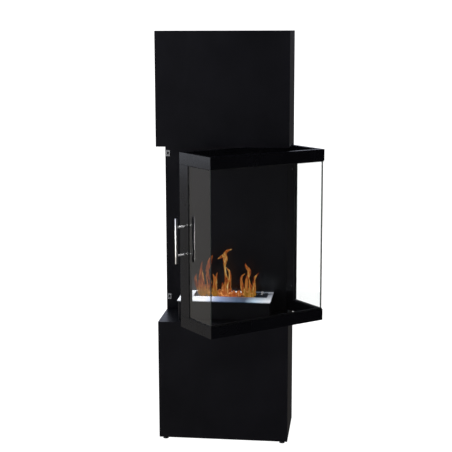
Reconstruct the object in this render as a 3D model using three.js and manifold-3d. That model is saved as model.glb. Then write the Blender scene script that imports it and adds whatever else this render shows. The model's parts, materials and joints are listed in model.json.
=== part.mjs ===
// A free-standing bioethanol fireplace: two steel cabinets joined by a shallow column at the back, a burner on
// a low plinth between them, and a three-sided glass door that turns on two pivots at its right rear corner.
//
// Millimetres, +Z up. X runs to the right, Y runs from the front to the back, and the floor is Z = 0.
// The origin is the middle of the footprint, with the door standing open as it does at rest.

import * as THREE from 'three';
import { mergeVertices } from 'three/addons/utils/BufferGeometryUtils.js';
import Module from 'manifold-3d';

// ---------------------------------------------------------------- driving dimensions

// Body
const WIDTH = 460;
const DEPTH = 258;
const FOOT_HEIGHT = 10;
const LOWER_HEIGHT = 427;
const UPPER_HEIGHT = 393;
const COLUMN_DEPTH = 71;
const SHEET = 2;
const REAR_FLANGE = 18;

// Gaps
const CLEARANCE = 0.3;
const HOLE_CLEARANCE = 0.3;

// Feet
const FOOT_RADIUS = 10;
const FOOT_TOP_RADIUS = 8.5;
const FOOT_INSET = 20;
const FOOT_SCREW_RADIUS = 3;
const FOOT_SCREW_HEAD_RADIUS = 5.5;
const FOOT_SCREW_HEAD = 3;
const FOOT_SCREW_REACH = 9;

// Fasteners of the body
const COVER_SCREW_RADIUS = 2;
const COVER_SCREW_HEAD_RADIUS = 4;
const COVER_SCREW_HEAD = 1.6;
const COVER_SCREW_REACH = 5;
const BOLT_RADIUS = 4;
const BOLT_HEAD_RADIUS = 7.5;
const BOLT_HEAD = 5.5;
const BOLT_REACH = 12;
const BOLT_SPREAD = 150;

// Burner
const PLINTH_WIDTH = 324;
const PLINTH_DEPTH = 151;
const PLINTH_FLANGE = 4.5;
const PLATE_WIDTH = 330;
const PLATE_OVERHANG = 9;
const PLATE_HEIGHT = 73;
const PLATE_THICKNESS = 3;
const RECESS_LEFT = -118;
const RECESS_RIGHT = 148;
const RECESS_REAR = 13;
const RECESS_DEPTH = 76;
const BURNER_WALL = 1.5;
const BURNER_RIM = 7;
const BURNER_LIP = 2;
const SLOT_WIDTH = 31;
const SLOT_END = 6;
const SLOT_FRONT = 5;
const LID_WIDTH = 39;
const LID_THICKNESS = 2;
const WOOL_HEIGHT = 50;
const KNOB_RADIUS = 4;
const KNOB_HEIGHT = 12;
const KNOB_INSET = 21;

// Door
const DOOR_DEPTH = 195;
const DOOR_HEIGHT = 600;
const DOOR_GAP_BELOW = 14.5;
const DOOR_GAP_ABOVE = 5.5;
const HEARTH_HEIGHT = DOOR_GAP_BELOW + DOOR_HEIGHT + DOOR_GAP_ABOVE;
const DOOR_REAR_GAP = 5;
const DOOR_SHOWN = THREE.MathUtils.degToRad(39.7);
const FRAME_WIDTH = 15;
const RAIL_HEIGHT = 40;
const LATCH_STILE = 53;
const HINGE_STILE = 40;
const FRAME_WALL = 1.5;

// Glass and its gaskets
const GLASS = 4;
const GLASS_SETBACK = 3;
const GLASS_ENTRY = 10;
const SEAL_PROUD = 3;
const SEAL_DEPTH = 12;

// Pivots at the door's right rear corner
const PIVOT_RADIUS = 4;
const PIVOT_PLATE = 3;
const PIVOT_PLATE_WIDTH = 30;
const PIVOT_PLATE_DEPTH = 20;
const PIVOT_REACH = 14;
const BUSH_WALL = 1.4;
const BUSH_LENGTH = 16;
const SPACER_RADIUS = 7;
const RUNNING_GAP = 0.1;

// Handle
const BAR_RADIUS = 5;
const BAR_LENGTH = 155;
const BAR_STANDOFF = 30;
const BAR_EDGE = 1;
const POST_RADIUS = 3;
const POST_SPACING = 96;
const HANDLE_ABOVE_MIDDLE = 4;
const HANDLE_SCREW_RADIUS = 1.5;
const HANDLE_SCREW_HEAD_RADIUS = 3.5;
const HANDLE_SCREW_HEAD = 2;
const HANDLE_SCREW_REACH = 14;

// Catches on the column, strike plates on the door
const CATCH_WIDTH = 14;
const CATCH_HEIGHT = 21.5;
const CATCH_FLANGE = 2;
const CATCH_BODY_WIDTH = 10;
const CATCH_BODY_HEIGHT = 15;
const CATCH_BODY_DEPTH = 10;
const CATCH_INSET = 3;
const CATCH_BELOW_TOP = 42;
const CATCH_ABOVE_BOTTOM = 48.5;
const MAGNET_WIDTH = 6;
const MAGNET_HEIGHT = 10;
const MAGNET_PROUD = 0.5;
const STRIKE_THICKNESS = 1.2;
const STRIKE_WIDTH = 12;
const STRIKE_HEIGHT = 26;

// Screws on the inner face of the hinge stile
const CLAMP_SCREW_RADIUS = 3.5;
const CLAMP_SCREW_HEAD = 2;
const CLAMP_SCREW_SHANK_RADIUS = 1.5;
const CLAMP_SCREW_FROM_REAR = 32;
const CLAMP_SCREW_BELOW_TOP = 84;
const CLAMP_SCREW_ABOVE_BOTTOM = 92;

// Facets round a turned piece
const FACETS = 32;

// ---------------------------------------------------------------- places worked out from them

const left = -WIDTH / 2;
const right = WIDTH / 2;
const front = -DEPTH / 2;
const rear = DEPTH / 2;
const lowerTop = FOOT_HEIGHT + LOWER_HEIGHT;
const upperBottom = lowerTop + HEARTH_HEIGHT;
const top = upperBottom + UPPER_HEIGHT;
const columnFront = rear - COLUMN_DEPTH;

const plateTop = lowerTop + PLATE_HEIGHT;
const plateUnder = plateTop - PLATE_THICKNESS;
const recessRear = columnFront - RECESS_REAR;
const recessFront = recessRear - RECESS_DEPTH;

const doorBottom = lowerTop + DOOR_GAP_BELOW;
const doorTop = upperBottom - DOOR_GAP_ABOVE;
const doorMiddle = (doorBottom + doorTop) / 2;
const doorRear = columnFront - DOOR_REAR_GAP;
const doorFront = doorRear - DOOR_DEPTH;
const windowBottom = doorBottom + RAIL_HEIGHT;
const windowTop = doorTop - RAIL_HEIGHT;
const pivotX = right - FRAME_WIDTH / 2;
const pivotY = doorRear - FRAME_WIDTH / 2;

// ---------------------------------------------------------------- shaping helpers

const wasm = await Module();
wasm.setup();

// A closed geometry as a solid that can be cut and joined.
function solidOf(geometry) {
  const bare = geometry.clone();
  bare.deleteAttribute('normal');
  bare.deleteAttribute('uv');
  const merged = mergeVertices(bare, 1e-4);
  const mesh = new wasm.Mesh({
    numProp: 3,
    vertProperties: new Float32Array(merged.attributes.position.array),
    triVerts: new Uint32Array(merged.index.array),
  });
  return new wasm.Manifold(mesh);
}

function geometryOf(solid) {
  const mesh = solid.getMesh();
  const geometry = new THREE.BufferGeometry();
  geometry.setAttribute('position', new THREE.BufferAttribute(new Float32Array(mesh.vertProperties), 3));
  geometry.setIndex(new THREE.BufferAttribute(new Uint32Array(mesh.triVerts), 1));
  geometry.computeVertexNormals();
  return geometry;
}

function cut(body, ...tools) {
  return geometryOf(tools.reduce((solid, tool) => solid.subtract(solidOf(tool)), solidOf(body)));
}

function join(...pieces) {
  const [first, ...others] = pieces.map(solidOf);
  return geometryOf(others.reduce((solid, other) => solid.add(other), first));
}

// A rectangular block between two values on each axis.
function block([x0, x1], [y0, y1], [z0, z1]) {
  const geometry = new THREE.BoxGeometry(x1 - x0, y1 - y0, z1 - z0);
  return geometry.translate((x0 + x1) / 2, (y0 + y1) / 2, (z0 + z1) / 2);
}

// A round rod from one height to another.
function rod(radius, [x, y], [z0, z1], sides = FACETS) {
  const geometry = new THREE.CylinderGeometry(radius, radius, z1 - z0, sides);
  return geometry.rotateX(Math.PI / 2).translate(x, y, (z0 + z1) / 2);
}

// A round rod along X, and one along Y.
function rodAlongX(radius, [y, z], [x0, x1], sides = FACETS) {
  const geometry = new THREE.CylinderGeometry(radius, radius, x1 - x0, sides);
  return geometry.rotateZ(Math.PI / 2).translate((x0 + x1) / 2, y, z);
}

function rodAlongY(radius, [x, z], [y0, y1], sides = FACETS) {
  const geometry = new THREE.CylinderGeometry(radius, radius, y1 - y0, sides);
  return geometry.translate(x, (y0 + y1) / 2, z);
}

// A turned piece about a vertical axis, from [radius, height] points that start and end on the axis
// or close on themselves.
function turned(points, [x, y]) {
  const profile = points.map(([radius, height]) => new THREE.Vector2(radius, height));
  return new THREE.LatheGeometry(profile, FACETS).rotateX(Math.PI / 2).translate(x, y, 0);
}

// A span that reaches past both ends, for a tool that cuts right through.
const PAST = 5;
const through = ([low, high]) => [low - PAST, high + PAST];
const inset = ([low, high], by) => [low + by, high - by];

// ---------------------------------------------------------------- materials

const material = (color, roughness, metalness, extra = {}) =>
  new THREE.MeshStandardMaterial({ color, roughness, metalness, ...extra });

const blackSteel = material(0x17171a, 0.42, 0.2);
const brushedSteel = material(0xc9ccd2, 0.3, 1);
const chrome = material(0xd8dadd, 0.12, 1);
const clearGlass = material(0xc8d2cf, 0.05, 0, { transparent: true, opacity: 0.3 });
const rubber = material(0x0b0b0c, 0.85, 0);
const plastic = material(0x101012, 0.6, 0);
const wool = material(0xe6e2d8, 0.95, 0);
const zincSteel = material(0x9a9ca0, 0.4, 1);
const magnet = material(0x242428, 0.5, 0.6);

const fireplace = new THREE.Group();
const cabinetGroup = new THREE.Group();
const burnerGroup = new THREE.Group();
const doorPivot = new THREE.Group();
const doorGroup = new THREE.Group();
fireplace.add(cabinetGroup, burnerGroup, doorPivot);
doorPivot.add(doorGroup);

// The door's pieces are drawn where they are when it is shut, then turned open about the pivot.
doorPivot.position.set(pivotX, pivotY, 0);
doorPivot.rotation.z = DOOR_SHOWN;
doorGroup.position.set(-pivotX, -pivotY, 0);

function place(group, name, geometry, finish) {
  const mesh = new THREE.Mesh(geometry, finish);
  mesh.name = name;
  group.add(mesh);
}

// ---------------------------------------------------------------- cabinets and column

const inner = [left + SHEET, right - SHEET];
const coverRear = rear - COVER_SCREW_HEAD;
const coverFront = coverRear - SHEET;
const flangeRear = coverFront - CLEARANCE;
const flangeFront = flangeRear - SHEET;

// Places of the four screws of a rear cover.
function coverScrewPlaces([z0, z1]) {
  const offset = REAR_FLANGE / 2;
  const xs = [inner[0] + offset, inner[1] - offset];
  const zs = [z0 + offset, z1 - offset];
  return xs.flatMap((x) => zs.map((z) => [x, z]));
}

// The room between the end sheets of a shell, and whatever closes it below.
const SHEET_ROOM = SHEET + CLEARANCE;
const coverSpan = (span) => inset(span, SHEET_ROOM);

// A folded shell that is open at the back, with a flange there for its rear cover.
// It has a top sheet of its own, and a bottom sheet too unless a separate plate closes it.
function foldedShell([z0, z1], yFront, ownBottom) {
  const floor = ownBottom ? z0 + SHEET : z0 - PAST;
  const shell = cut(
    block([left, right], [yFront, rear], [z0, z1]),
    block(inner, [yFront + SHEET, rear + PAST], [floor, z1 - SHEET]),
  );
  const flangeFoot = ownBottom ? z0 + SHEET / 2 : z0 + SHEET_ROOM;
  const flange = cut(
    block([left + SHEET / 2, right - SHEET / 2], [flangeFront, flangeRear], [flangeFoot, z1 - SHEET / 2]),
    block(inset(inner, REAR_FLANGE), through([flangeFront, flangeRear]), inset([z0, z1], REAR_FLANGE)),
  );
  const holes = coverScrewPlaces(coverSpan([z0, z1])).map((place) =>
    rodAlongY(COVER_SCREW_RADIUS + HOLE_CLEARANCE, place, through([flangeFront, flangeRear]), 16),
  );
  return cut(join(shell, flange), ...holes);
}

// A flat rear cover with its four screws.
function rearCover(span) {
  const [z0, z1] = coverSpan(span);
  const sheet = block(inset(inner, CLEARANCE), [coverFront, coverRear], [z0, z1]);
  const screws = coverScrewPlaces([z0, z1]).flatMap((place) => [
    rodAlongY(COVER_SCREW_HEAD_RADIUS, place, [coverRear - SHEET / 2, rear], 16),
    rodAlongY(COVER_SCREW_RADIUS, place, [coverFront - COVER_SCREW_REACH, coverRear], 16),
  ]);
  return join(sheet, ...screws);
}

const lowerSpan = [FOOT_HEIGHT, lowerTop];
const columnSpan = [lowerTop + CLEARANCE, upperBottom - CLEARANCE];
const upperSpan = [upperBottom, top];

// Bolts that tie the column to the cabinets, in its two end sheets.
const boltY = (columnFront + rear) / 2;
const boltPlaces = [
  ['left', -BOLT_SPREAD],
  ['right', BOLT_SPREAD],
];
const boltHoles = (span) =>
  boltPlaces.map(([, x]) => rod(BOLT_RADIUS + HOLE_CLEARANCE, [x, boltY], through(span), 16));

const pivotHole = (span) => rod(PIVOT_RADIUS + HOLE_CLEARANCE, [pivotX, pivotY], through(span));

place(
  cabinetGroup,
  'lower_cabinet',
  cut(
    foldedShell(lowerSpan, front, false),
    ...boltHoles([lowerTop - SHEET, lowerTop]),
    pivotHole([lowerTop - SHEET, lowerTop]),
  ),
  blackSteel,
);

const footPlaces = [
  [left + FOOT_INSET, front + FOOT_INSET],
  [right - FOOT_INSET, front + FOOT_INSET],
  [left + FOOT_INSET, rear - FOOT_INSET],
  [right - FOOT_INSET, rear - FOOT_INSET],
];
const plateFront = front + SHEET + CLEARANCE;
const footScrewTop = FOOT_HEIGHT + FOOT_SCREW_REACH;
const footHead = FOOT_HEIGHT - FOOT_SCREW_REACH / 2 - FOOT_SCREW_HEAD;

place(
  cabinetGroup,
  'lower_base',
  cut(
    block(inset(inner, CLEARANCE), [plateFront, rear], [FOOT_HEIGHT, FOOT_HEIGHT + SHEET]),
    ...footPlaces.map((at) => rod(FOOT_SCREW_RADIUS + HOLE_CLEARANCE, at, through(lowerSpan), 16)),
  ),
  blackSteel,
);
place(cabinetGroup, 'lower_rear_cover', rearCover(lowerSpan), blackSteel);

footPlaces.forEach((at, index) => {
  const footTop = FOOT_HEIGHT - CLEARANCE;
  const body = turned([[0, 0], [FOOT_RADIUS, 0], [FOOT_TOP_RADIUS, footTop], [0, footTop]], at);
  const head = [-PAST, footHead + FOOT_SCREW_HEAD + CLEARANCE];
  place(
    cabinetGroup,
    `foot_${index + 1}`,
    cut(
      body,
      rod(FOOT_SCREW_RADIUS + HOLE_CLEARANCE, at, through([0, FOOT_HEIGHT])),
      rod(FOOT_SCREW_HEAD_RADIUS + HOLE_CLEARANCE, at, head),
    ),
    plastic,
  );
  place(
    cabinetGroup,
    `foot_screw_${index + 1}`,
    join(
      rod(FOOT_SCREW_HEAD_RADIUS, at, [footHead, footHead + FOOT_SCREW_HEAD]),
      rod(FOOT_SCREW_RADIUS, at, [footHead, footScrewTop], 16),
    ),
    zincSteel,
  );
});

// Where the two catches sit on the column's front sheet.
const catchX = left + CATCH_INSET + CATCH_WIDTH / 2;
const catches = [
  ['upper', upperBottom - CATCH_BELOW_TOP],
  ['lower', lowerTop + CATCH_ABOVE_BOTTOM],
];
const around = (middle, size) => [middle - size / 2, middle + size / 2];

place(
  cabinetGroup,
  'column',
  cut(
    foldedShell(columnSpan, columnFront, true),
    ...boltHoles(columnSpan),
    ...catches.map(([, z]) =>
      block(
        around(catchX, CATCH_BODY_WIDTH + 2 * CLEARANCE),
        [columnFront - PAST, columnFront + PAST],
        around(z, CATCH_BODY_HEIGHT + 2 * CLEARANCE),
      ),
    ),
  ),
  blackSteel,
);
place(cabinetGroup, 'column_rear_cover', rearCover(columnSpan), blackSteel);

for (const [side, x] of boltPlaces) {
  const lowHead = columnSpan[0] + SHEET + CLEARANCE;
  const highHead = columnSpan[1] - SHEET - CLEARANCE;
  place(
    cabinetGroup,
    `column_bolt_lower_${side}`,
    join(
      rod(BOLT_HEAD_RADIUS, [x, boltY], [lowHead, lowHead + BOLT_HEAD], 6),
      rod(BOLT_RADIUS, [x, boltY], [lowHead - BOLT_REACH, lowHead + BOLT_HEAD / 2], 16),
    ),
    zincSteel,
  );
  place(
    cabinetGroup,
    `column_bolt_upper_${side}`,
    join(
      rod(BOLT_HEAD_RADIUS, [x, boltY], [highHead - BOLT_HEAD, highHead], 6),
      rod(BOLT_RADIUS, [x, boltY], [highHead - BOLT_HEAD / 2, highHead + BOLT_REACH], 16),
    ),
    zincSteel,
  );
}

place(cabinetGroup, 'upper_cabinet', foldedShell(upperSpan, front, false), blackSteel);
place(
  cabinetGroup,
  'upper_bottom',
  cut(
    block(inset(inner, CLEARANCE), [plateFront, rear], [upperBottom, upperBottom + SHEET]),
    ...boltHoles(upperSpan),
    pivotHole(upperSpan),
  ),
  blackSteel,
);
place(cabinetGroup, 'upper_rear_cover', rearCover(upperSpan), blackSteel);

for (const [name, z] of catches) {
  const flangeBack = columnFront - CLEARANCE;
  const face = flangeBack - CATCH_FLANGE;
  const bodyBack = columnFront + CATCH_BODY_DEPTH;
  const pocketBack = bodyBack - SHEET;
  place(
    cabinetGroup,
    `catch_housing_${name}`,
    cut(
      join(
        block(around(catchX, CATCH_WIDTH), [face, flangeBack], around(z, CATCH_HEIGHT)),
        block(around(catchX, CATCH_BODY_WIDTH), [face, bodyBack], around(z, CATCH_BODY_HEIGHT)),
      ),
      block(
        around(catchX, MAGNET_WIDTH + 2 * CLEARANCE),
        [face - PAST, pocketBack],
        around(z, MAGNET_HEIGHT + 2 * CLEARANCE),
      ),
    ),
    chrome,
  );
  place(
    cabinetGroup,
    `catch_magnet_${name}`,
    block(
      around(catchX, MAGNET_WIDTH),
      [face - MAGNET_PROUD, pocketBack - CLEARANCE],
      around(z, MAGNET_HEIGHT),
    ),
    magnet,
  );
}

// ---------------------------------------------------------------- burner

const plinthX = around(0, PLINTH_WIDTH);
const plinthRear = columnFront - CLEARANCE;
const plinthY = [plinthRear - PLINTH_DEPTH, plinthRear];
const plinthZ = [lowerTop + CLEARANCE, plateUnder - CLEARANCE];

place(
  burnerGroup,
  'burner_plinth',
  cut(
    block(plinthX, plinthY, plinthZ),
    block(inset(plinthX, SHEET), inset(plinthY, SHEET), [plinthZ[0] - PAST, plinthZ[1] - SHEET]),
    block(inset(plinthX, SHEET + PLINTH_FLANGE), inset(plinthY, SHEET + PLINTH_FLANGE), through(plinthZ)),
  ),
  blackSteel,
);

const recessX = [RECESS_LEFT, RECESS_RIGHT];
const recessY = [recessFront, recessRear];

place(
  burnerGroup,
  'hearth_plate',
  cut(
    block(around(0, PLATE_WIDTH), [plinthY[0] - PLATE_OVERHANG, plinthRear], [plateUnder, plateTop]),
    block(recessX, recessY, through([plateUnder, plateTop])),
  ),
  brushedSteel,
);

// The fuel box stands on the cabinet's top. Its deck has the flame slot in front. The deck lies in a shallow tray
// where the lid slides, and the hearth plate's edges lie over the lid's ends.
const lidTop = plateUnder - CLEARANCE;
const lidZ = [lidTop - LID_THICKNESS, lidTop];
const deckTop = lidZ[0] - CLEARANCE;
const boxX = [RECESS_LEFT - BURNER_RIM, RECESS_RIGHT + BURNER_RIM];
const boxY = [recessFront - BURNER_LIP, recessRear + BURNER_LIP];
const boxZ = [lowerTop + CLEARANCE, lidTop];
const trayX = inset(boxX, BURNER_WALL);
const trayY = inset(boxY, BURNER_WALL);
const slotX = inset(recessX, SLOT_END);
const slotY = [recessFront + SLOT_FRONT, recessFront + SLOT_FRONT + SLOT_WIDTH];
const lidX = inset(trayX, CLEARANCE);
const lidRear = trayY[1] - CLEARANCE;

place(
  burnerGroup,
  'burner_box',
  cut(
    block(boxX, boxY, boxZ),
    block(trayX, trayY, [deckTop, lidTop + PAST]),
    block(trayX, trayY, [boxZ[0] + BURNER_WALL, deckTop - BURNER_WALL]),
    block(slotX, slotY, through([deckTop - BURNER_WALL, deckTop])),
  ),
  brushedSteel,
);

const woolFloor = boxZ[0] + BURNER_WALL + CLEARANCE;
place(
  burnerGroup,
  'ceramic_wool',
  block(
    inset(trayX, CLEARANCE),
    inset(trayY, CLEARANCE),
    [woolFloor, woolFloor + WOOL_HEIGHT],
  ),
  wool,
);

const knobX = RECESS_RIGHT - KNOB_INSET;
const knobY = lidRear - LID_WIDTH / 3;
const knobZ = [lidTop + CLEARANCE, lidTop + KNOB_HEIGHT];
place(
  burnerGroup,
  'regulator_lid',
  cut(
    block(lidX, [lidRear - LID_WIDTH, lidRear], lidZ),
    rod(KNOB_RADIUS / 2 + HOLE_CLEARANCE, [knobX, knobY], through(lidZ), 16),
  ),
  brushedSteel,
);
place(
  burnerGroup,
  'regulator_knob',
  join(
    rod(KNOB_RADIUS, [knobX, knobY], knobZ),
    rod(KNOB_RADIUS / 2, [knobX, knobY], [lidZ[0], knobZ[1] - KNOB_RADIUS], 16),
  ),
  chrome,
);

// ---------------------------------------------------------------- door frame

const doorX = [left, right];
const railFrame = (span) =>
  cut(
    block(doorX, [doorFront, doorRear], span),
    block(inset(doorX, FRAME_WIDTH), [doorFront + FRAME_WIDTH, doorRear + PAST], through(span)),
  );

// The hollow of a rail frame, a wall's thickness inside its outline and open on one side.
const railHollow = (span) =>
  cut(
    block(inset(doorX, FRAME_WALL), inset([doorFront, doorRear], FRAME_WALL), span),
    block(
      inset(doorX, FRAME_WIDTH - FRAME_WALL),
      [doorFront + FRAME_WIDTH - FRAME_WALL, doorRear + PAST],
      through(span),
    ),
  );

const bushRadius = PIVOT_RADIUS + RUNNING_GAP + BUSH_WALL;
const bushHole = (span) => rod(bushRadius + HOLE_CLEARANCE, [pivotX, pivotY], through(span));

place(
  doorGroup,
  'door_top_frame',
  cut(
    railFrame([windowTop, doorTop]),
    railHollow([windowTop - PAST, doorTop - FRAME_WALL]),
    bushHole([doorTop - FRAME_WALL, doorTop]),
  ),
  blackSteel,
);
place(
  doorGroup,
  'door_bottom_frame',
  cut(
    railFrame([doorBottom, windowBottom]),
    railHollow([doorBottom + FRAME_WALL, windowBottom + PAST]),
    bushHole([doorBottom, doorBottom + FRAME_WALL]),
  ),
  blackSteel,
);

const rearRailX = inset(doorX, FRAME_WIDTH + CLEARANCE);
const rearRailY = [doorRear - FRAME_WIDTH, doorRear];
place(
  doorGroup,
  'door_rear_rail',
  cut(
    block(rearRailX, rearRailY, [windowTop, doorTop]),
    block(through(rearRailX), inset(rearRailY, FRAME_WALL), inset([windowTop, doorTop], FRAME_WALL)),
  ),
  blackSteel,
);

// The stiles are channels whose mouths face the glass.
const stileZ = [windowBottom + CLEARANCE, windowTop - CLEARANCE];
const leftStileX = [left, left + FRAME_WIDTH];
const rightStileX = [right - FRAME_WIDTH, right];
const latchMouth = doorRear - LATCH_STILE;
const hingeMouth = doorRear - HINGE_STILE;

const barX = left - BAR_STANDOFF;
const barY = doorRear - LATCH_STILE / 2;
const handleMiddle = doorMiddle + HANDLE_ABOVE_MIDDLE;
const postHeights = [
  ['upper', handleMiddle + POST_SPACING / 2],
  ['lower', handleMiddle - POST_SPACING / 2],
];
const screwHeights = [
  ['upper', doorTop - CLAMP_SCREW_BELOW_TOP],
  ['lower', doorBottom + CLAMP_SCREW_ABOVE_BOTTOM],
];
const clampY = doorRear - CLAMP_SCREW_FROM_REAR;

const stile = (xSpan, mouth) =>
  cut(
    block(xSpan, [mouth, doorRear], stileZ),
    block(inset(xSpan, FRAME_WALL), [mouth - PAST, doorRear - FRAME_WALL], through(stileZ)),
  );

place(
  doorGroup,
  'latch_stile',
  cut(
    stile(leftStileX, latchMouth),
    ...postHeights.map(([, z]) =>
      rodAlongX(HANDLE_SCREW_RADIUS + HOLE_CLEARANCE, [barY, z], [left - PAST, left + PAST], 16),
    ),
  ),
  blackSteel,
);
place(
  doorGroup,
  'hinge_stile',
  cut(
    stile(rightStileX, hingeMouth),
    ...screwHeights.map(([, z]) =>
      rodAlongX(
        CLAMP_SCREW_SHANK_RADIUS + HOLE_CLEARANCE,
        [clampY, z],
        [rightStileX[0] - PAST, rightStileX[0] + PAST],
        16,
      ),
    ),
  ),
  blackSteel,
);
for (const [name, z] of screwHeights) {
  const face = rightStileX[0] - CLEARANCE;
  place(
    doorGroup,
    `clamp_screw_${name}`,
    join(
      rodAlongX(CLAMP_SCREW_RADIUS, [clampY, z], [face - CLAMP_SCREW_HEAD, face], 20),
      rodAlongX(CLAMP_SCREW_SHANK_RADIUS, [clampY, z], [face - CLAMP_SCREW_HEAD / 2, face + FRAME_WALL], 16),
    ),
    chrome,
  );
}

// ---------------------------------------------------------------- glass and gaskets

const glassZ = [windowBottom - GLASS_ENTRY, windowTop + GLASS_ENTRY];
const frontGlassY = [doorFront + GLASS_SETBACK, doorFront + GLASS_SETBACK + GLASS];
const leftGlassX = [left + GLASS_SETBACK, left + GLASS_SETBACK + GLASS];
const rightGlassX = [right - GLASS_SETBACK - GLASS, right - GLASS_SETBACK];
const sideGlassFront = frontGlassY[1] + CLEARANCE;
const leftGlassRear = latchMouth + GLASS_ENTRY;
const rightGlassRear = hingeMouth + GLASS_ENTRY;

const frontPane = [inset(doorX, GLASS_SETBACK), frontGlassY, glassZ];
const leftPane = [leftGlassX, [sideGlassFront, leftGlassRear], glassZ];
const rightPane = [rightGlassX, [sideGlassFront, rightGlassRear], glassZ];
place(doorGroup, 'front_glass', block(...frontPane), clearGlass);
place(doorGroup, 'left_glass', block(...leftPane), clearGlass);
place(doorGroup, 'right_glass', block(...rightPane), clearGlass);

// The room that the three panes take in a gasket, with its fitting gap.
const grown = ([low, high]) => [low - CLEARANCE, high + CLEARANCE];
const paneTools = [frontPane, leftPane, rightPane].map((pane) => block(...pane.map(grown)));

// A gasket of the rail channels: a strip along three sides, slit for the panes.
const sealRear = latchMouth + GLASS_ENTRY;
const railSeal = (span) => {
  const outline = block(
    inset(doorX, FRAME_WALL + CLEARANCE),
    [doorFront + FRAME_WALL + CLEARANCE, sealRear],
    span,
  );
  const middle = block(
    inset(doorX, FRAME_WIDTH - FRAME_WALL - CLEARANCE),
    [doorFront + FRAME_WIDTH - FRAME_WALL - CLEARANCE, sealRear + PAST],
    through(span),
  );
  return cut(outline, middle, ...paneTools);
};
place(doorGroup, 'top_seal', railSeal([windowTop - SEAL_PROUD, windowTop + SEAL_DEPTH]), rubber);
place(doorGroup, 'bottom_seal', railSeal([windowBottom - SEAL_DEPTH, windowBottom + SEAL_PROUD]), rubber);

const stileSealZ = inset([windowBottom, windowTop], SEAL_PROUD + CLEARANCE);
const stileSeal = (xSpan, mouth) =>
  cut(
    block(inset(xSpan, FRAME_WALL + CLEARANCE), [mouth - SEAL_PROUD, mouth + SEAL_DEPTH], stileSealZ),
    ...paneTools,
  );
place(doorGroup, 'latch_seal', stileSeal(leftStileX, latchMouth), rubber);
place(doorGroup, 'hinge_seal', stileSeal(rightStileX, hingeMouth), rubber);

// ---------------------------------------------------------------- handle

const barZ = around(handleMiddle, BAR_LENGTH);
place(
  doorGroup,
  'handle_bar',
  turned(
    [
      [0, barZ[0]],
      [BAR_RADIUS - BAR_EDGE, barZ[0]],
      [BAR_RADIUS, barZ[0] + BAR_EDGE],
      [BAR_RADIUS, barZ[1] - BAR_EDGE],
      [BAR_RADIUS - BAR_EDGE, barZ[1]],
      [0, barZ[1]],
    ],
    [barX, barY],
  ),
  brushedSteel,
);
for (const [name, z] of postHeights) {
  const foot = left - CLEARANCE;
  const screwHead = left + FRAME_WALL + CLEARANCE;
  place(
    doorGroup,
    `handle_post_${name}`,
    cut(
      rodAlongX(POST_RADIUS, [barY, z], [barX, foot], 24),
      rod(BAR_RADIUS + CLEARANCE, [barX, barY], through(barZ)),
      rodAlongX(HANDLE_SCREW_RADIUS + HOLE_CLEARANCE, [barY, z], [foot - HANDLE_SCREW_REACH, foot + PAST], 16),
    ),
    brushedSteel,
  );
  place(
    doorGroup,
    `handle_screw_${name}`,
    join(
      rodAlongX(HANDLE_SCREW_HEAD_RADIUS, [barY, z], [screwHead, screwHead + HANDLE_SCREW_HEAD], 20),
      rodAlongX(
        HANDLE_SCREW_RADIUS,
        [barY, z],
        [foot - HANDLE_SCREW_REACH + CLEARANCE, screwHead + HANDLE_SCREW_HEAD / 2],
        16,
      ),
    ),
    zincSteel,
  );
}

// ---------------------------------------------------------------- strikes and pivots

for (const [name, z] of catches) {
  const plateFace = doorRear + CLEARANCE;
  const strikeZ = around(z, STRIKE_HEIGHT);
  place(
    doorGroup,
    `strike_plate_${name}`,
    block(around(catchX, STRIKE_WIDTH), [plateFace, plateFace + STRIKE_THICKNESS], strikeZ),
    zincSteel,
  );
}

const pivotAt = [pivotX, pivotY];
const pinTop = upperBottom + SHEET + CLEARANCE + PIVOT_PLATE;
const pinFoot = lowerTop - SHEET - CLEARANCE - PIVOT_PLATE;

// A pivot pin is fixed to a small plate inside its cabinet.
const pivotPlateX = [inner[1] - CLEARANCE - PIVOT_PLATE_WIDTH, inner[1] - CLEARANCE];
const pivotPlate = (span) => block(pivotPlateX, around(pivotY, PIVOT_PLATE_DEPTH), span);
place(
  cabinetGroup,
  'top_pivot_pin',
  join(
    rod(PIVOT_RADIUS, pivotAt, [doorTop - PIVOT_REACH, pinTop - PIVOT_PLATE / 2]),
    pivotPlate([pinTop - PIVOT_PLATE, pinTop]),
  ),
  zincSteel,
);
place(
  cabinetGroup,
  'bottom_pivot_pin',
  join(
    rod(PIVOT_RADIUS, pivotAt, [pinFoot + PIVOT_PLATE / 2, doorBottom + PIVOT_REACH]),
    pivotPlate([pinFoot, pinFoot + PIVOT_PLATE]),
  ),
  zincSteel,
);

// A collar, from its bore radius, outer radius and span.
const collar = (bore, outer, span) => cut(rod(outer, pivotAt, span), rod(bore, pivotAt, through(span)));
const pinBore = PIVOT_RADIUS + RUNNING_GAP;
place(
  cabinetGroup,
  'pivot_spacer',
  collar(pinBore, SPACER_RADIUS, [lowerTop + CLEARANCE, doorBottom - CLEARANCE]),
  zincSteel,
);
place(doorGroup, 'pivot_bush_top', collar(pinBore, bushRadius, [doorTop - BUSH_LENGTH, doorTop]), plastic);
place(
  doorGroup,
  'pivot_bush_bottom',
  collar(pinBore, bushRadius, [doorBottom, doorBottom + BUSH_LENGTH]),
  plastic,
);

// ---------------------------------------------------------------- origin

// The middle of the whole footprint, with the open door, goes to X = 0, Y = 0, and the feet stand on Z = 0.
const footprint = new THREE.Box3().setFromObject(fireplace, true);
const middle = footprint.getCenter(new THREE.Vector3());
fireplace.position.set(-middle.x, -middle.y, -footprint.min.z);
fireplace.updateMatrixWorld(true);

export default fireplace;
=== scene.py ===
# %% [markdown]
# # A bioethanol fireplace, dressed for the studio
# The steel, glass and hinges of the fireplace come as a finished frame. This lesson gives that frame its
# paint, brushed steel, glass and fire, and sets it in a bright studio. All lengths are in metres.

# %% Load the frame
import json
import math

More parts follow.
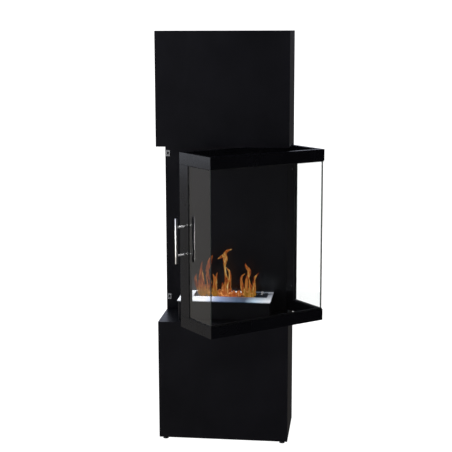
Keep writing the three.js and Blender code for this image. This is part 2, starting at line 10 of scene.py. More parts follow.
import bmesh
import bpy
from mathutils import Matrix, Vector


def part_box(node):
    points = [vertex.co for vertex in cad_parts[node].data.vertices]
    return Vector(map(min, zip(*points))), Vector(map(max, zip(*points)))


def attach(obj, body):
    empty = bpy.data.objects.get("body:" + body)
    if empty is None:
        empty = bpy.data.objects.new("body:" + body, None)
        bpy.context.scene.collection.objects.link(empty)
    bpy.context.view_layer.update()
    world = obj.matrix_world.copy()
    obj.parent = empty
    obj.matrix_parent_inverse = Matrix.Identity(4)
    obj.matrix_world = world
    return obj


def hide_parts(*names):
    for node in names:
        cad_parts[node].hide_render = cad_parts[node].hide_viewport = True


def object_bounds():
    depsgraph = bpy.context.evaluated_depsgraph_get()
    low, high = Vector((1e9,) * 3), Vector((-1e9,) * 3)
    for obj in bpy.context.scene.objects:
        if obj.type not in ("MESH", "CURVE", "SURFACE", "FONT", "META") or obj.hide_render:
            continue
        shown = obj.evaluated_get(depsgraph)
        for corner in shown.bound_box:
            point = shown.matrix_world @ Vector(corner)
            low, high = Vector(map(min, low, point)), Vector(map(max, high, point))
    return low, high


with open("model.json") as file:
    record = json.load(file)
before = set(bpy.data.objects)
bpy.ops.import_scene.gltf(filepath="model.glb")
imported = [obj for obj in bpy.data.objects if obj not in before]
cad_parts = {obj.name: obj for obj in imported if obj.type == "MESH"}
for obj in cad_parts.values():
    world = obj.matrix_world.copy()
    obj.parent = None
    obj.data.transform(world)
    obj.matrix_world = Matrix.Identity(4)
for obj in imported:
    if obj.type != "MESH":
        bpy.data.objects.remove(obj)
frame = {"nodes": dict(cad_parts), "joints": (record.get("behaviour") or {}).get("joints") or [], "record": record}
nodes = frame["nodes"]
frame_low, frame_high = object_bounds()
print("frame size:", [round(side, 3) for side in frame_high - frame_low])

# %% [markdown]
# ## The camera
# The picture was taken from the right of the fireplace and from just above its top, with a long lens. A
# long lens keeps the upright edges nearly parallel. The place is given from the middle of the lower
# cabinet's footprint, so it stays right wherever the frame's origin is.

# %% Camera
MM = 0.001
PICTURE_WIDTH = 452
SENSOR_WIDTH = 36.0
FOCAL_PIXELS = 1111.29
CAMERA_OFFSET = Vector((468.68, -3881.24, 1453.39)) * MM
CAMERA_YAW = math.radians(6.926)
CAMERA_PITCH = math.radians(10.029)
CAMERA_ROLL = math.radians(0.136)

cabinet_low, cabinet_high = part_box("lower_cabinet")
footprint = (cabinet_low + cabinet_high) / 2
footprint.z = 0.0

lens = bpy.data.cameras.new("studio_camera")
lens.sensor_width = SENSOR_WIDTH
lens.lens = FOCAL_PIXELS / PICTURE_WIDTH * SENSOR_WIDTH
lens.clip_end = 60.0
camera = bpy.data.objects.new("studio_camera", lens)
bpy.context.collection.objects.link(camera)
camera.matrix_world = (
    Matrix.Translation(footprint + CAMERA_OFFSET)
    @ Matrix.Rotation(CAMERA_YAW, 4, "Z")
    @ Matrix.Rotation(math.pi / 2 - CAMERA_PITCH, 4, "X")
    @ Matrix.Rotation(-CAMERA_ROLL, 4, "Z")
)
bpy.context.scene.camera = camera
print("lens:", round(lens.lens, 2), "mm")

# %% [markdown]
# ## Writing shader maths as Python
# A material is a tree of nodes, and a sum of two masks is a node too. The class below wraps one socket, so
# that `1 - mask * 0.5` in Python adds the Math nodes for it.


# %% Shader maths
class Value:
    """A socket that takes part in Python expressions."""

    def __init__(self, paint, socket):
        self.paint = paint
        self.socket = socket

    def __add__(self, other):
        return self.paint.math("ADD", self, other)

    def __radd__(self, other):
        return self.paint.math("ADD", other, self)

    def __sub__(self, other):
        return self.paint.math("SUBTRACT", self, other)

    def __rsub__(self, other):
        return self.paint.math("SUBTRACT", other, self)

    def __mul__(self, other):
        return self.paint.math("MULTIPLY", self, other)

    def __rmul__(self, other):
        return self.paint.math("MULTIPLY", other, self)

    def __pow__(self, other):
        return self.paint.math("POWER", self, other)

    def __abs__(self):
        return self.paint.math("ABSOLUTE", self)


print("sockets can be summed")

# %% [markdown]
# ## Adding any node
# `Paint` holds a tree of nodes. Its `node` method adds any node: the settings come first, because they
# decide which sockets the node has, and then its inputs. A Mix node has sockets of the same name for
# numbers, vectors and colours, so its colour sockets are counted, not named. The other methods add the
# nodes that come often.

# %% Paint
FIRST_COLOUR, SECOND_COLOUR, MIXED_COLOUR = 6, 7, 2


class Paint:
    """The node tree of a finish or of the studio."""

    def __init__(self, tree):
        self.tree = tree
        tree.nodes.clear()

    def node(self, kind, settings=None, inputs=None, output=0):
        made = self.tree.nodes.new(kind)
        for name, value in (settings or {}).items():
            if name == "stops":
                self.set_stops(made.color_ramp, value)
            else:
                setattr(made, name, value)
        for name, value in (inputs or {}).items():
            self.feed(made.inputs[name], value)
        return Value(self, made.outputs[output]) if made.outputs else made

    def feed(self, socket, value):
        if isinstance(value, Value):
            self.tree.links.new(value.socket, socket)
        else:
            socket.default_value = value

    def set_stops(self, ramp, stops):
        while len(ramp.elements) < len(stops):
            ramp.elements.new(1.0)
        for element, (place, colour) in zip(ramp.elements, stops):
            element.position = place
            element.color = (*colour, 1.0)

    def math(self, operation, *values):
        return self.node("ShaderNodeMath", {"operation": operation}, dict(enumerate(values)))

    def smooth(self, value, low, high, at_low=0.0, at_high=1.0):
        """Runs smoothly from at_low to at_high while value runs from low to high."""
        settings = {"interpolation_type": "SMOOTHSTEP"}
        inputs = {"Value": value, "From Min": low, "From Max": high, "To Min": at_low, "To Max": at_high}
        return self.node("ShaderNodeMapRange", settings, inputs)

    def ramp(self, stops, amount):
        """The colour of a ramp at amount."""
        return self.node("ShaderNodeValToRGB", {"stops": stops}, {0: amount})

    def colours(self, amount, first, second, blend="MIX"):
        """A blend of two colours."""
        inputs = {"Factor": amount}
        for socket, colour in ((FIRST_COLOUR, first), (SECOND_COLOUR, second)):
            inputs[socket] = (*colour, 1.0) if isinstance(colour, tuple) else colour
        settings = {"data_type": "RGBA", "blend_type": blend}
        return self.node("ShaderNodeMix", settings, inputs, output=MIXED_COLOUR)

    def parts(self, vector):
        """The x, y and z of a vector."""
        split = self.node("ShaderNodeSeparateXYZ", None, {0: vector})
        return [Value(self, socket) for socket in split.socket.node.outputs]

    def place(self):
        """Where a point is on the fireplace, in metres."""
        return self.node("ShaderNodeTexCoord", output="Object")

    def towards(self, direction):
        """How much the surface faces a direction, from -1 to 1."""
        inputs = {0: self.node("ShaderNodeTexCoord", output="Normal"), 1: direction}
        return self.node("ShaderNodeVectorMath", {"operation": "DOT_PRODUCT"}, inputs, output="Value")

    def stretched(self, scale):
        """The place for noise with so many patches to a metre along x, y and z."""
        return self.node("ShaderNodeMapping", None, {"Vector": self.place(), "Scale": scale})

    def noise(self, place, scale=1.0, detail=2.0, roughness=0.5, distortion=0.0):
        """Noise in smooth patches, with scale of them to a metre."""
        inputs = {
            "Vector": place,
            "Scale": scale,
            "Detail": detail,
            "Roughness": roughness,
            "Distortion": distortion,
        }
        return self.node("ShaderNodeTexNoise", None, inputs)

    def bump(self, height, strength, distance):
        """Bumps on the surface that are at most distance metres high."""
        inputs = {"Height": height, "Strength": strength, "Distance": distance}
        return self.node("ShaderNodeBump", None, inputs)

    def surface(self, shader):
        self.node("ShaderNodeOutputMaterial", None, {"Surface": shader})


print("paint is ready")

# %% [markdown]
# ## A helper for finishes
# Each finish is a function that fills a new material. What is the same all over a piece is set on the
# shader's own socket, and what changes over it arrives by a link. The `finish` line above a function runs
# it at once and keeps the material under the name of its slot.

# %% Start a finish
finishes = {}


def finish(slot):
    """Marks a function as the one that paints the pieces of a material slot."""

    def make(fill):
        material = bpy.data.materials.new(slot)
        material.use_nodes = True
        fill(Paint(material.node_tree))
        finishes[slot] = material
        return fill

    return make


def principled(paint, **inputs):
    named = {name.replace("_", " "): value for name, value in inputs.items()}
    return paint.node("ShaderNodeBsdfPrincipled", None, named)


def grey(level, tint=(1.0, 1.0, 1.0)):
    return tuple(level * part for part in tint)


print("finishes can start")

# %% [markdown]
# ## Black powder coat
# The cabinets and the column are sheet steel with a satin black powder coat. Baked powder never lies quite flat:
# it has a fine skin like an orange's, about a millimetre from crest to crest, and a satin sheen that is a little
# patchy. Hands leave soft smears on it, and dust lies on the faces that look up. Noise at four scales gives these.
# The door has a darker and glossier coat than the cabinets. Its stile at the hinge gets a darker copy of that coat
# with little shine, which paints the shade the stile stands in.


# %% Powder coat
DARK_PATCH, LIGHT_PATCH = 0.8, 1.25
DUST_GREY = grey(0.02)


def powder_coat(paint, level, gloss, tint, shine=0.5):
    place = paint.place()
    skin = paint.noise(place, scale=620.0, detail=3.0, roughness=0.6)
    patches = paint.noise(place, scale=4.5, detail=4.0, roughness=0.6)
    smears = paint.noise(paint.stretched((9.0, 9.0, 3.0)), detail=5.0, roughness=0.7, distortion=1.2)
    upward = paint.smooth(paint.towards((0.0, 0.0, 1.0)), 0.6, 0.95)
    dust = upward * paint.smooth(paint.noise(place, scale=90.0, detail=6.0, roughness=0.75), 0.42, 0.75)
    shade = paint.smooth(patches, 0.25, 0.75)
    coat = paint.colours(shade, grey(level * DARK_PATCH, tint), grey(level * LIGHT_PATCH, tint))
    sheen = gloss + (patches - 0.5) * 0.12 + paint.smooth(smears, 0.5, 0.8) * 0.08 + dust * 0.12
    paint.surface(
        principled(
            paint,
            Base_Color=paint.colours(dust * 0.3, coat, DUST_GREY),
            Roughness=sheen,
            Specular_IOR_Level=shine,
            Normal=paint.bump(skin, strength=0.10, distance=0.0004),
        )
    )


@finish("black_steel")
def cabinet_paint(paint):
    powder_coat(paint, level=0.0042, gloss=0.31, tint=(1.0, 0.95, 1.35))


@finish("door_black")
def door_paint(paint):
    powder_coat(paint, level=0.0020, gloss=0.26, tint=(1.0, 1.0, 1.5), shine=0.38)


# A darker copy of the door coat with little shine: painted shade for the stile at the hinge.
@finish("matt_black")
def shaded_stile_paint(paint):
    powder_coat(paint, level=0.0018, gloss=0.40, tint=(1.0, 1.0, 1.4), shine=0.08)


print("finishes so far:", sorted(finishes))

# %% [markdown]
# ## Brushed stainless steel
# Brushing leaves long fine scratches that all run one way. Noise that is squeezed across them and stretched
# along them gives these. The handle's bar is brushed from end to end. Its posts are turned, so they are
# duller on all sides.


# %% Brushed steel
def brushed(paint, scratch_scale, level, roughness, hue, wear=1.0):
    """The colour, roughness and bump of brushed steel. Less wear makes it more even."""
    scratches = paint.noise(paint.stretched(scratch_scale), detail=4.0, roughness=0.7)
    patches = paint.noise(paint.place(), scale=22.0, detail=3.0)
    shade = paint.smooth(scratches, 0.25, 0.75, level * 0.85, level)
    colour = paint.node("ShaderNodeCombineColor", None, {part: shade * hue[part] for part in range(3)})
    rough = roughness + (scratches - 0.5) * 0.18 * wear + (patches - 0.5) * 0.12 * wear
    return colour, rough, paint.bump(scratches, strength=0.12 * wear, distance=0.0002)


@finish("satin_steel")
def handle_steel(paint):
    colour, rough, normal = brushed(
        paint,
        scratch_scale=(1500.0, 1500.0, 30.0),
        level=0.80,
        roughness=0.34,
        hue=(1.0, 0.99, 0.97),
        wear=0.3,
    )
    paint.surface(principled(paint, Base_Color=colour, Metallic=1.0, Roughness=rough, Normal=normal))


@finish("turned_steel")
def post_steel(paint):
    colour, rough, normal = brushed(
        paint,
        scratch_scale=(900.0, 900.0, 900.0),
        level=0.85,
        roughness=0.48,
        hue=(1.0, 0.99, 0.98),
        wear=0.4,
    )
    paint.surface(principled(paint, Base_Color=colour, Metallic=0.6, Roughness=rough, Normal=normal))


print("finishes so far:", sorted(finishes))

# %% [markdown]
# ## Temper colour and painted reflection on the hearth plate
# Steel takes temper colours where a fire heats it, as real burner plates do: violet grey close to the slot. The
# blue-grey along the plate is painted reflection: a colour ramp along the plate paints the white room at the left
# end, the dark hearth mirrored further right and a paler right end, on the front strip and on the right part of
# the plate. A painted shade makes it darkest behind the front edge at the right. Each mask is a distance on the
# plate, run through a smooth step.

# %% Hearth plate
# Painted reflection along the plate: white room at the left, dark hearth in the middle and right, pale again at
# the right end.
PAINTED_REFLECTION_STOPS = [
    (0.20, (1.0, 1.0, 1.0)),
    (0.27, (0.78, 0.84, 0.95)),
    (0.34, (0.42, 0.49, 0.66)),
    (0.45, (0.22, 0.30, 0.47)),
    (0.62, (0.12, 0.175, 0.27)),
    (0.81, (0.055, 0.10, 0.165)),
    (0.92, (0.55, 0.72, 0.85)),
    (1.00, (1.0, 1.0, 1.0)),
]
VIOLET_GREY = (0.42, 0.40, 0.50)
# The colour of the painted shade behind the front edge at the right of the plate.
PAINTED_SHADE_BLUE = (0.04, 0.052, 0.078)

plate_low, plate_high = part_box("hearth_plate")
wool_low, wool_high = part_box("ceramic_wool")
slot_middle = (wool_low.y + wool_high.y) / 2


@finish("stainless")
def plate_steel(paint):
    colour, rough, normal = brushed(
        paint,
        scratch_scale=(7.0, 900.0, 900.0),
        level=0.78,
        roughness=0.30,
        hue=(0.97, 1.0, 1.05),
    )
    along, across, _ = paint.parts(paint.place())
    from_left = along - plate_low.x
    from_front = across - plate_low.y
    from_right = plate_high.x - along

    near_fire = 1 - paint.smooth(abs(across - slot_middle), 0.020, 0.060)
    heat = near_fire * paint.smooth(paint.noise(paint.place(), scale=30.0, detail=4.0), 0.35, 0.75)
    violet = paint.colours(heat * 0.35, colour, VIOLET_GREY)

    # Where the painted reflection goes: the front strip and the right part of the plate.
    reflection_front_strip = 1 - paint.smooth(from_front, 0.10, 0.14)
    reflection_right_part = paint.smooth(from_left, 0.205, 0.265)
    painted_reflection_mask = 1 - (1 - reflection_front_strip) * (1 - reflection_right_part)
    # The painted reflection colour, multiplied over the plate's own colour and its temper tint.
    painted_reflection = paint.ramp(PAINTED_REFLECTION_STOPS, paint.smooth(along, plate_low.x, plate_high.x))
    tint_and_reflection = paint.colours(painted_reflection_mask, violet, painted_reflection, blend="MULTIPLY")

    # Painted shade: darkest behind the front edge towards the right, weaker at the right end.
    inwards = paint.smooth(from_front, 0.0, 0.10)
    rightwards = paint.smooth(from_left, 0.14, 0.24)
    pale_end = paint.smooth(from_right, 0.05, 0.0, 0.85, 0.6)
    painted_shade = inwards * rightwards * painted_reflection_mask * pale_end
    paint.surface(
        principled(
            paint,
            Base_Color=paint.colours(painted_shade, tint_and_reflection, PAINTED_SHADE_BLUE),
            Metallic=0.55,
            Roughness=rough + 0.14,
            Normal=normal,
        )
    )


print("finishes so far:", sorted(finishes))

# %% [markdown]
# ## Small metal parts
# The catches and the knob are bright chrome, the clamp screws are blackened, the hidden bolts are zinc
# plated, and the magnets are dark sintered metal. Each has a little grime or wear, because a perfectly even
# metal looks like a drawing.


# %% Chrome, zinc and magnet
@finish("chrome")
def chrome_plate(paint):
    grime = paint.smooth(paint.noise(paint.place(), scale=140.0, detail=5.0, roughness=0.65), 0.45, 0.75)
    colour = paint.colours(grime, grey(0.88), grey(0.55))
    paint.surface(principled(paint, Base_Color=colour, Metallic=0.75, Roughness=0.22 + grime * 0.25))


@finish("blackened")
def blackened_screw(paint):
    wear = paint.smooth(paint.noise(paint.place(), scale=300.0, detail=5.0, roughness=0.65), 0.5, 0.75)
    colour = paint.colours(wear, grey(0.04), grey(0.16))
    paint.surface(principled(paint, Base_Color=colour, Metallic=0.8, Roughness=0.30 + wear * 0.2))


@finish("zinc")
def zinc_plate(paint):
    spangle = paint.noise(paint.place(), scale=260.0, detail=3.0)
    colour = paint.colours(spangle, grey(0.40), grey(0.58, (1.0, 1.0, 0.94)))
    rough = 0.32 + spangle * 0.2
    normal = paint.bump(spangle, strength=0.08, distance=0.0003)
    paint.surface(principled(paint, Base_Color=colour, Metallic=1.0, Roughness=rough, Normal=normal))


@finish("magnet")
def magnet_face(paint):
    grain = paint.noise(paint.place(), scale=900.0, detail=4.0, roughness=0.7)
    colour = paint.colours(grain, grey(0.012), grey(0.035))
    rough = 0.45 + grain * 0.2
    normal = paint.bump(grain, strength=0.2, distance=0.0002)
    paint.surface(principled(paint, Base_Color=colour, Metallic=0.4, Roughness=rough, Normal=normal))


print("finishes so far:", sorted(finishes))

# %% [markdown]
# ## Rubber, plastic and ceramic wool
# The gaskets are matt black rubber with a fine grain, and the feet and bushes are moulded plastic. The
# ceramic wool in the fuel box is an off-white mat of loose fibres, scorched brown where the flames stand on
# it.


# %% Gaskets, feet and wool
@finish("gasket")
def gasket_rubber(paint):
    grain = paint.noise(paint.place(), scale=1400.0, detail=3.0)
    bloom = paint.smooth(paint.noise(paint.place(), scale=26.0, detail=4.0), 0.4, 0.8)
    colour = paint.colours(bloom, grey(0.004), grey(0.009))
    normal = paint.bump(grain, strength=0.15, distance=0.0002)
    paint.surface(principled(paint, Base_Color=colour, Roughness=0.75 + bloom * 0.15, Normal=normal))


@finish("foot_plastic")
def moulded_plastic(paint):
    grain = paint.noise(paint.place(), scale=1100.0, detail=2.0)
    scuffs = paint.smooth(paint.noise(paint.stretched((60.0, 240.0, 60.0)), detail=5.0), 0.55, 0.8)
    colour = paint.colours(scuffs, grey(0.010), grey(0.04))
    normal = paint.bump(grain, strength=0.15, distance=0.0003)
    paint.surface(principled(paint, Base_Color=colour, Roughness=0.5 + scuffs * 0.25, Normal=normal))


WOOL_SHADE, WOOL_WHITE, SCORCHED = (0.55, 0.52, 0.46), (0.86, 0.84, 0.78), (0.20, 0.13, 0.08)


@finish("ceramic_wool")
def wool_fibres(paint):
    drawn_out = paint.stretched((260.0, 420.0, 420.0))
    fibres = paint.noise(drawn_out, detail=6.0, roughness=0.75, distortion=2.0)
    scorch = paint.smooth(paint.noise(paint.place(), scale=24.0, detail=4.0), 0.45, 0.75)
    colour = paint.colours(scorch, paint.colours(fibres, WOOL_SHADE, WOOL_WHITE), SCORCHED)
    normal = paint.bump(fibres, strength=0.6, distance=0.0015)
    paint.surface(principled(paint, Base_Color=colour, Roughness=0.95, Normal=normal))


print("finishes so far:", sorted(finishes))

# %% [markdown]
# ## Clear glass
# The panes are 4 mm toughened glass. A thin pane hardly bends what is seen through it, so a see-through
# shader is mixed with a mirror: little mirror where the pane is seen square on, much where it is seen at a
# slant. Layer Weight says how slanted the view is. Both faces of a real pane mirror, and in a thin one the
# two images fall together. Here only the face that is seen from outside mirrors, so that no image is
# doubled. The ground edges are dark green and frosted, and the mask for them is wherever the surface
# doesn't face the way its pane does.

# %% Glass
door_open = math.radians(-frame["joints"][0]["range_deg"][0])
FRONT_FACING = (math.sin(door_open), -math.cos(door_open), 0.0)
SIDE_FACING = (math.cos(door_open), math.sin(door_open), 0.0)
MIRROR_SQUARE_ON = 0.08
SLANT_POWER = 3.2
EDGE_COVER = 0.97
PANE_TINT = (0.985, 0.99, 0.988, 1.0)
EDGE_GREEN = (0.012, 0.018, 0.016)


def clear_glass(paint, pane_facing):
    edge = 1 - paint.smooth(abs(paint.towards(pane_facing)), 0.3, 0.6)
    slant = paint.node("ShaderNodeLayerWeight", None, {"Blend": 0.5}, output="Facing")
    wiped = paint.noise(paint.stretched((5.0, 5.0, 2.0)), detail=5.0, roughness=0.7)
    film = paint.smooth(wiped, 0.45, 0.8)
    outside = 1 - paint.node("ShaderNodeNewGeometry", output="Backfacing")
    mirror = outside * (MIRROR_SQUARE_ON + (1 - MIRROR_SQUARE_ON) * slant**SLANT_POWER)
    see_through = paint.node("ShaderNodeBsdfTransparent", None, {"Color": PANE_TINT})
    shine = principled(
        paint,
        Base_Color=paint.colours(edge, grey(1.0), EDGE_GREEN),
        Metallic=1 - edge,
        Roughness=0.01 + film * 0.015 + edge * 0.3,
    )
    amount = paint.math("MAXIMUM", mirror, edge * EDGE_COVER)
    paint.surface(paint.node("ShaderNodeMixShader", None, {0: amount, 1: see_through, 2: shine}))


@finish("clear_glass")
def front_pane(paint):
    clear_glass(paint, FRONT_FACING)


@finish("side_glass")
def side_pane(paint):
    clear_glass(paint, SIDE_FACING)


print("finishes:", sorted(finishes))

# %% [markdown]
# ## Dress the frame
# The record says which slot each piece of the frame takes its finish from. The side panes face another way than
# the front pane, so they get their own copy of the glass, and the stile at the hinge gets the darker, less shiny
# copy of the door coat that paints its shade.

# %% Dress the frame
# The hinge stile takes the copy of the door coat that paints its shade.
OTHER_FINISHES = {"left_glass": "side_glass", "right_glass": "side_glass", "hinge_stile": "matt_black"}

for part in frame["record"]["subparts"]:
    chosen = OTHER_FINISHES.get(part["node"], part["material_slot"])
    for slot in nodes[part["node"]].material_slots:
        slot.material = finishes[chosen]

# %% [markdown]
# ## Softer edges on folded sheet
# Folded and welded sheet steel never has a knife edge. Its small radius catches a thin line of light, and
# that line tells the eye that it looks at metal. The frame's pieces are loose triangles, so a Weld joins
# them first, and then a Bevel rounds every edge that is sharper than its angle limit.

# %% Rounded edges
SHEET_RADIUS = 0.0012
WELD_REACH = 0.00002
SHARP = math.radians(40)


def soften(piece):
    weld = piece.modifiers.new("weld", "WELD")
    weld.merge_threshold = WELD_REACH
    bevel = piece.modifiers.new("edge_radius", "BEVEL")
    bevel.width = SHEET_RADIUS
    bevel.segments = 2
    bevel.limit_method = "ANGLE"
    bevel.angle_limit = SHARP
    bevel.use_clamp_overlap = True


SHEET_PIECES = ["lower_cabinet", "upper_cabinet", "column", "burner_plinth"]
DOOR_PIECES = ["door_top_frame", "door_bottom_frame", "door_rear_rail", "latch_stile", "hinge_stile"]
for name in SHEET_PIECES + DOOR_PIECES:
    soften(nodes[name])
print("rounded:", len(SHEET_PIECES + DOOR_PIECES), "pieces")

# %% [markdown]
# ## New pieces
# A new piece is a mesh built with bmesh operators. This helper turns one into an object, gives it a finish,
# and lets it ride on a body of the frame. The object stays at the origin, because its place is in its
# vertices.


# %% Make a piece
def make_piece(name, shape, material, body, rounding=0):
    bmesh.ops.recalc_face_normals(shape, faces=shape.faces)
    mesh = bpy.data.meshes.new(name)
    shape.to_mesh(mesh)
    shape.free()
    mesh.polygons.foreach_set("use_smooth", [True] * len(mesh.polygons))
    mesh.materials.append(material)
    piece = bpy.data.objects.new(name, mesh)
    bpy.context.collection.objects.link(piece)
    if rounding:
        smoothing = piece.modifiers.new("rounding", "SUBSURF")
        smoothing.levels = smoothing.render_levels = rounding
    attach(piece, body)
    return piece


print("ready to make pieces")

# %% [markdown]
# ## Turned parts
# The handle's bar and posts, the regulator's knob and the clamp screws are turned on a lathe, and a lathe
# is easily copied: a half outline is spun once round its axis. An outline is a few (radius, distance along
# the axis) points in millimetres. The frame's own part tells where the axis starts, which way it points and
# how long the part is. Edges sharper than an angle stay crisp, and the rest is shaded smooth.


# %% Turned parts
LATHE_STEPS = 48
SAME_PLACE = 0.000001
CRISP = math.radians(35)


def axis_of(name, axis):
    """Where the axis of a turned part of the frame starts, and the part's length along it in millimetres."""
    side = axis.orthogonal().normalized()
    start = Vector((0.0, 0.0, 0.0))
    for direction in (side, axis.cross(side), axis):
        reaches = [direction.dot(vert.co) for vert in nodes[name].data.vertices]
        low, high = min(reaches), max(reaches)
        start += direction * (low if direction == axis else (low + high) / 2)
    return start, (high - low) / MM


def turned(name, node, axis, outline, material, body, flutes=None):
    """Spins an outline round the axis of the frame's node and takes the node's place."""
    start, length = axis_of(node, axis)
    shape = bmesh.new()
    points = [shape.verts.new((radius * MM, 0.0, along * MM)) for radius, along in outline(length)]
    for first, second in zip(points, points[1:]):
        shape.edges.new((first, second))
    bmesh.ops.spin(
        shape,
        geom=shape.verts[:] + shape.edges[:],
        cent=(0, 0, 0),
        axis=(0, 0, 1),
        angle=math.tau,
        steps=LATHE_STEPS,
        use_merge=True,
    )
    bmesh.ops.remove_doubles(shape, verts=shape.verts, dist=SAME_PLACE)
    if flutes:
        flutes(shape)
    turn = Vector((0.0, 0.0, 1.0)).rotation_difference(axis).to_matrix()
    bmesh.ops.rotate(shape, cent=(0, 0, 0), matrix=turn, verts=shape.verts)
    bmesh.ops.translate(shape, vec=start, verts=shape.verts)
    piece = make_piece(name, shape, material, body)
    piece.data.set_sharp_from_angle(angle=CRISP)
    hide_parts(node)
    return piece


print("the lathe is ready")

# %% [markdown]
# ## The handle
# The handle is a T-bar: a round bar with eased ends on two posts. Each post has a small chamfer where it
# meets the door, so that its edge doesn't cut into the paint.

# %% Handle
UP = Vector((0.0, 0.0, 1.0))
INWARDS = Vector(SIDE_FACING)


def bar_outline(length):
    return [
        (0.0, 0.0),
        (3.4, 0.0),
        (4.5, 0.4),
        (5.0, 1.4),
        (5.0, length - 1.4),
        (4.5, length - 0.4),
        (3.4, length),
        (0.0, length),
    ]


def post_outline(length):
    return [(0.0, 0.0), (3.0, 0.0), (3.0, length - 0.5), (2.6, length), (0.0, length)]


grip = turned("grip", "handle_bar", UP, bar_outline, finishes["satin_steel"], "door")
posts = [
    turned(
        "grip_post_" + place,
        "handle_post_" + place,
        INWARDS,
        post_outline,
        finishes["turned_steel"],
        "door",
    )
    for place in ("upper", "lower")
]
print("handle:", grip.name, [post.name for post in posts])

# %% [markdown]
# ## The knob and the clamp screws
# The knob slides the lid over the burner. Fingers hold it by its flutes, which are made by drawing every
# second row of points towards the axis. The clamp screws hold the right pane. Their heads are domed and
# have a round socket.

# %% Knob and screws
FLUTE_DEPTH = 0.08
FLUTE_LOW, FLUTE_HIGH = 3.0, 10.6


def knob_outline(length):
    return [
        (0.0, 0.0),
        (2.0, 0.0),
        (2.0, 2.3),
        (3.6, 2.3),
        (4.0, 2.7),
        (4.0, 3.2),
        (4.0, 10.4),
        (4.0, 10.8),
        (3.6, length - 1.2),
        (2.6, length - 0.4),
        (1.4, length - 0.05),
        (0.0, length),
    ]


def knob_flutes(shape):
    for vert in shape.verts:
        column = round(math.atan2(vert.co.y, vert.co.x) / math.tau * LATHE_STEPS)
        if column % 2 and FLUTE_LOW < vert.co.z / MM < FLUTE_HIGH:
            vert.co.xy *= 1 - FLUTE_DEPTH


def screw_outline(length):
    return [
        (0.0, 1.1),
        (1.3, 1.1),
        (1.3, 0.1),
        (1.6, 0.0),
        (2.6, 0.25),
        (3.3, 0.9),
        (3.5, 1.6),
        (3.5, 2.0),
        (1.5, 2.0),
        (1.5, length),
        (0.0, length),
    ]


knob = turned(
    "knob",
    "regulator_knob",
    UP,
    knob_outline,
    finishes["chrome"],
    "regulator",
    knob_flutes,
)
for place in ("upper", "lower"):
    turned(
        "clamp_head_" + place,
        "clamp_screw_" + place,
        INWARDS,
        screw_outline,
        finishes["blackened"],
        "door",
    )
print("knob and clamp screws are turned")

# %% [markdown]
# ## The fibre mat in the fuel box
# A mat of ceramic wool is a soft block with a lumpy top. A box is cut into a fine grid, and every point is
# pushed up or down by a wave that is strongest at the top. A little room is left all round, so the mat
# stays clear of the steel.

# %% Ceramic wool
WOOL_CUTS = 19
WOOL_LUMP = 0.0016
WOOL_ROOM = Vector((0.002, 0.002, 2 * WOOL_LUMP))

wool_size = wool_high - wool_low
wool = bmesh.new()
bmesh.ops.create_cube(wool, size=1.0)
bmesh.ops.scale(wool, vec=wool_size - WOOL_ROOM, verts=wool.verts)
bmesh.ops.subdivide_edges(wool, edges=wool.edges, cuts=WOOL_CUTS, use_grid_fill=True)
bmesh.ops.translate(wool, vec=(wool_low + wool_high) / 2, verts=wool.verts)
for point in wool.verts:
    swell = math.sin(point.co.x * 240 + 2 * math.sin(point.co.y * 170)) * math.cos(point.co.y * 260)
    ripple = math.sin(point.co.x * 900 + point.co.y * 700)
    share = (point.co.z - wool_low.z) / wool_size.z
    point.co.z += share * WOOL_LUMP * (0.7 * swell + 0.3 * ripple)
fibre_mat = make_piece("fibre_mat", wool, finishes["ceramic_wool"], "body", rounding=1)
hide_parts("ceramic_wool")
print("fibre mat:", [round(side * 1000) for side in wool_size], "mm")

# %% [markdown]
# ## What a flame looks like
# An alcohol flame is a thin glowing skin. Its body is orange brown, pale yellow strands run up it, and it
# thins to a dull red at its tips and edges. Noise that is drawn out upwards gives the strands, and a ramp
# turns heat into colour. Three attributes of the mesh steer the finish: `rise` says how far up its tongue a
# point is, `rim` how near the tongue's edge it is, and `cool` how dim and clear the whole tongue is.

# %% Flame colours
FLAME_STOPS = [
    (0.24, (0.04, 0.010, 0.006)),
    (0.36, (0.18, 0.035, 0.012)),
    (0.46, (0.36, 0.090, 0.020)),
    (0.56, (0.37, 0.155, 0.034)),
    (0.66, (0.47, 0.275, 0.080)),
    (0.80, (0.80, 0.570, 0.270)),
]

flame_skin = bpy.data.materials.new("flame_skin")
flame_skin.use_nodes = True
paint = Paint(flame_skin.node_tree)
rise, rim, cool = (
    paint.node("ShaderNodeAttribute", {"attribute_name": name}, output="Fac")
    for name in ("rise", "rim", "cool")
)
strands = paint.noise(paint.stretched((150.0, 150.0, 20.0)), detail=3.0, roughness=0.6, distortion=1.0)
regions = paint.noise(paint.stretched((34.0, 34.0, 16.0)), detail=2.0)
bright_rim = paint.smooth(rim, 0.55, 0.95) * 0.06
heat = strands * 1.25 - 0.12 + (regions - 0.5) * 0.35 + bright_rim - cool * 0.14 - rise * 0.07
body_colour = paint.ramp(FLAME_STOPS, heat)
print("flame colours:", len(FLAME_STOPS), "stops")

# %% [markdown]
# ## The foot and the edge of a flame
# The foot of the fire is redder and full of sparks in the middle of the slot, and duller and yellower
# towards the slot's ends. A flame's edge is ragged, and its tip fades away. Alpha thins the skin there,
# with wisps of noise that eat into the rim. The flame only glows: its base colour is black, so the lamps
# don't light it.

# %% Flame foot and edge
MIDDLE_OF_EMBERS = footprint.x + 0.012
DULL_YELLOW, EMBER_RED, SPARK = (0.30, 0.165, 0.022), (0.46, 0.11, 0.03), (0.90, 0.36, 0.12)
FLAME_GLOW = 0.9

